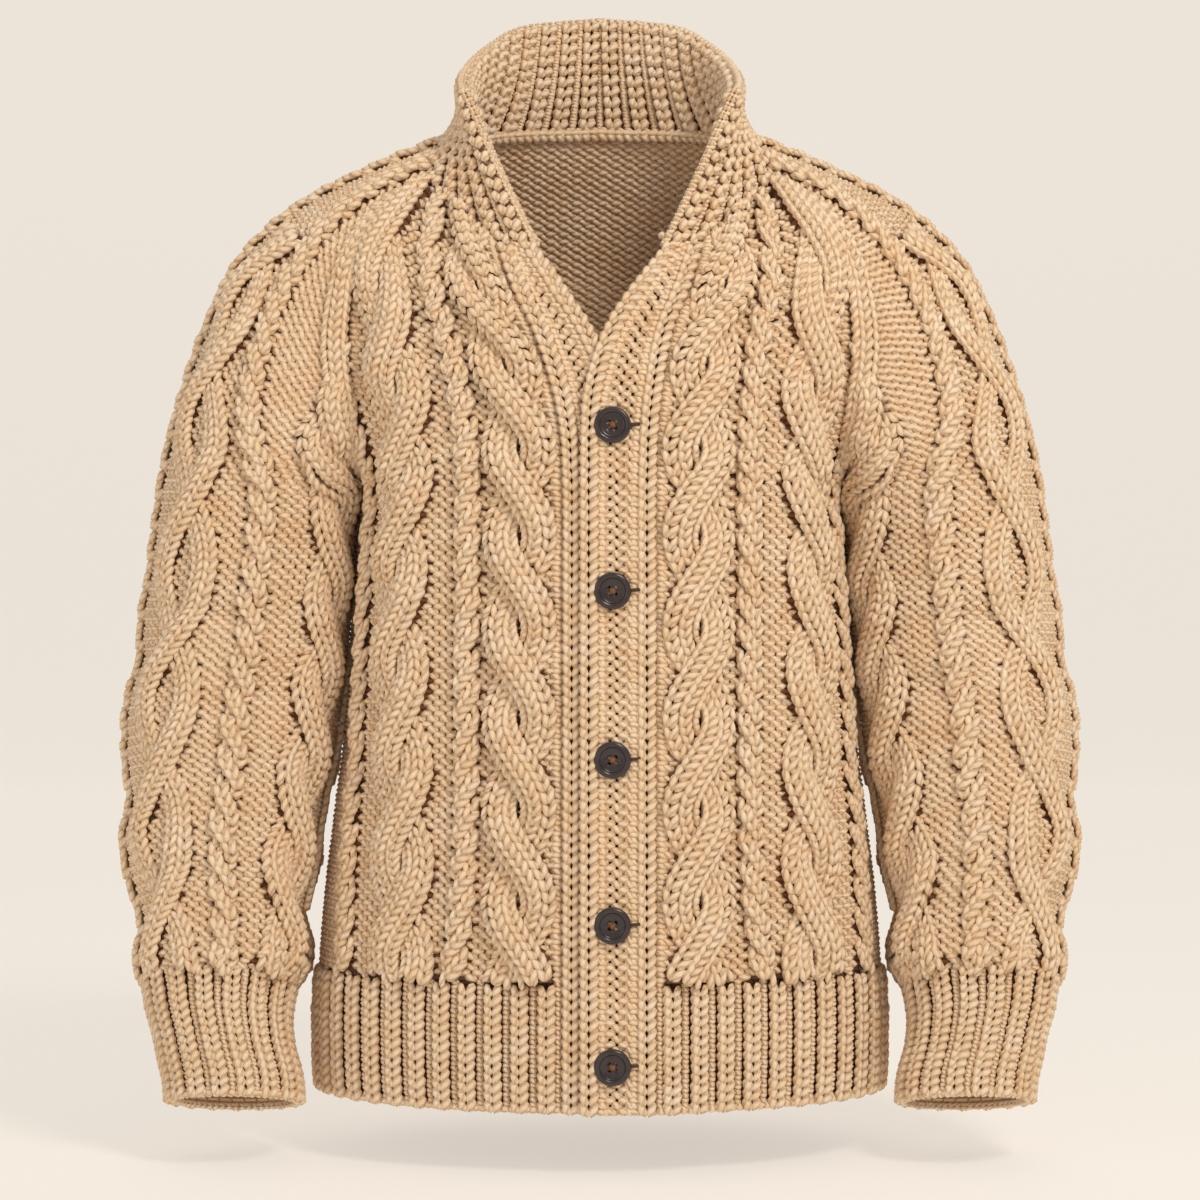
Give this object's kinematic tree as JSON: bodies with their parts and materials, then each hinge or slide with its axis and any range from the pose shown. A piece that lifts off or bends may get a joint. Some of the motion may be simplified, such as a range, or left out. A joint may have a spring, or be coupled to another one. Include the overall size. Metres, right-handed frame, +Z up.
{
  "type": "stand collar cardigan",
  "caption": "Chunky cable-knit stand collar cardigan with raglan sleeves, ribbed hem and cuffs and a buttoned front, in its worn shape.",
  "frame": {"origin": "middle of the neck, level with the shoulders, where the wearer holds it up", "axes": "+Z up along the wearer, -Y towards the buttoned front, +X to the wearer's left"},
  "size_m": [0.6698, 0.2657, 0.7795],
  "materials": {
    "wool_knit": "thick plied wool, hand-knit cables",
    "horn_button": "dark polished horn look"
  },
  "bodies": {
    "root": {"front_left": "wool_knit", "front_right": "wool_knit", "back": "wool_knit", "sleeve_left": "wool_knit", "sleeve_right": "wool_knit", "collar": "wool_knit", "buttonhole_band": "wool_knit", "button_band": "wool_knit", "hem_left": "wool_knit", "hem_right": "wool_knit", "hem_back": "wool_knit", "cuff_left": "wool_knit", "cuff_right": "wool_knit", "button_1": "horn_button", "button_2": "horn_button", "button_3": "horn_button", "button_4": "horn_button", "button_5": "horn_button"}
  },
  "joints": []
}
